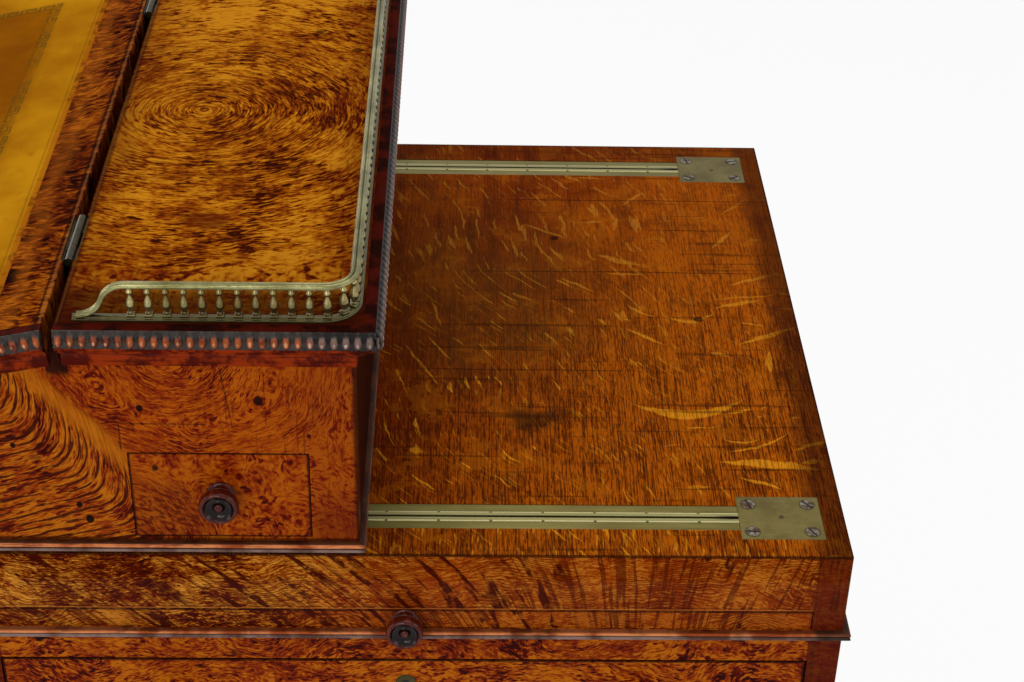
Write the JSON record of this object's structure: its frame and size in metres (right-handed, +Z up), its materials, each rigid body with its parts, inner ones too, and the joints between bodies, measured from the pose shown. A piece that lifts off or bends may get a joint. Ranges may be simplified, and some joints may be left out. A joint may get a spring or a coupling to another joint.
{
  "type": "davenport desk",
  "caption": "Small writing desk whose sloped, leather-topped box slides on brass tracks over a pedestal of side drawers; hinged lid, pull-out slide and brass gallery.",
  "frame": {"origin": "on the floor, at the middle of the bounding box of the desk as it stands with the box drawn out", "axes": "+Z up, +X towards the side where the real drawers open, -Y towards the sitter"},
  "size_m": [0.5658, 0.8602, 0.87],
  "materials": {
    "burr_veneer": "polished pollard oak veneer",
    "oak_board": "polished quarter-sawn oak",
    "plain_wood": "unpolished oak",
    "stained_wood": "dark stained wood",
    "moulding_wood": "polished, dark in the hollows",
    "turned_wood": "polished dark wood",
    "old_brass": "old unpolished brass",
    "steel": "worn",
    "hide": "tooled writing leather"
  },
  "bodies": {
    "base": {"slide_tracks": "old_brass", "end_plates": "old_brass", "base_top": "oak_board", "frieze_rails": "burr_veneer", "front_panel": "burr_veneer", "back_panel": "burr_veneer", "dust_boards": "plain_wood", "waist_rail": "burr_veneer", "left_side": "burr_veneer", "dummy_fronts": "burr_veneer", "dummy_knobs": "turned_wood", "waist_moulding": "moulding_wood", "plinth": "burr_veneer", "bun_feet": "turned_wood"},
    "writing_box": {"box_side_right": "burr_veneer", "box_side_left": "burr_veneer", "box_bottom": "plain_wood", "box_back": "stained_wood", "box_front": "burr_veneer", "lid_lock": "steel", "box_base_moulding": "moulding_wood", "box_runners": "old_brass", "box_flat_top": "burr_veneer", "flat_top_cornice": "moulding_wood", "hinge_fixed_leaves": "old_brass", "gallery_rails": "old_brass", "gallery_balusters": "old_brass", "inner_fitting": "plain_wood"},
    "lid": {"lid_panel": "burr_veneer", "lid_leather": "hide", "lid_keeper": "steel", "lid_cornice": "moulding_wood", "hinge_moving_leaves": "old_brass"},
    "pen_drawer": {"pen_drawer_front": "burr_veneer", "pen_drawer_box": "plain_wood", "pen_drawer_knob": "turned_wood"},
    "inner_drawer_right": {"inner_drawer_right": "plain_wood", "inner_drawer_right_knob": "turned_wood"},
    "inner_drawer_left": {"inner_drawer_left": "plain_wood", "inner_drawer_left_knob": "turned_wood"},
    "brushing_slide": {"brushing_slide": "burr_veneer", "slide_knob": "turned_wood"},
    "drawer_1": {"drawer_1_front": "burr_veneer", "drawer_1_box": "plain_wood", "drawer_1_knobs": "turned_wood", "drawer_1_lock": "steel"},
    "drawer_2": {"drawer_2_front": "burr_veneer", "drawer_2_box": "plain_wood", "drawer_2_knobs": "turned_wood", "drawer_2_lock": "steel"},
    "drawer_3": {"drawer_3_front": "burr_veneer", "drawer_3_box": "plain_wood", "drawer_3_knobs": "turned_wood", "drawer_3_lock": "steel"},
    "drawer_4": {"drawer_4_front": "burr_veneer", "drawer_4_box": "plain_wood", "drawer_4_knobs": "turned_wood", "drawer_4_lock": "steel"}
  },
  "joints": [
    {"name": "writing_box_slide", "type": "slide", "parent": "base", "child": "writing_box", "axis": [0, 1, 0], "range_m": [0, 0.293]},
    {"name": "lid_hinge", "type": "hinge", "parent": "writing_box", "child": "lid", "pos_m": [0, -0.04133, 0.8438], "axis": [-1, 0, 0], "range_deg": [0, 105]},
    {"name": "pen_drawer_slide", "type": "slide", "parent": "writing_box", "child": "pen_drawer", "axis": [1, 0, 0], "range_m": [0, 0.15]},
    {"name": "inner_drawer_right_slide", "type": "slide", "parent": "writing_box", "child": "inner_drawer_right", "axis": [0, -1, 0], "range_m": [0, 0.095]},
    {"name": "inner_drawer_left_slide", "type": "slide", "parent": "writing_box", "child": "inner_drawer_left", "axis": [0, -1, 0], "range_m": [0, 0.095]},
    {"name": "brushing_slide_pull", "type": "slide", "parent": "base", "child": "brushing_slide", "axis": [1, 0, 0], "range_m": [0, 0.25]},
    {"name": "drawer_1_slide", "type": "slide", "parent": "base", "child": "drawer_1", "axis": [1, 0, 0], "range_m": [0, 0.36]},
    {"name": "drawer_2_slide", "type": "slide", "parent": "base", "child": "drawer_2", "axis": [1, 0, 0], "range_m": [0, 0.36]},
    {"name": "drawer_3_slide", "type": "slide", "parent": "base", "child": "drawer_3", "axis": [1, 0, 0], "range_m": [0, 0.36]},
    {"name": "drawer_4_slide", "type": "slide", "parent": "base", "child": "drawer_4", "axis": [1, 0, 0], "range_m": [0, 0.36]}
  ]
}
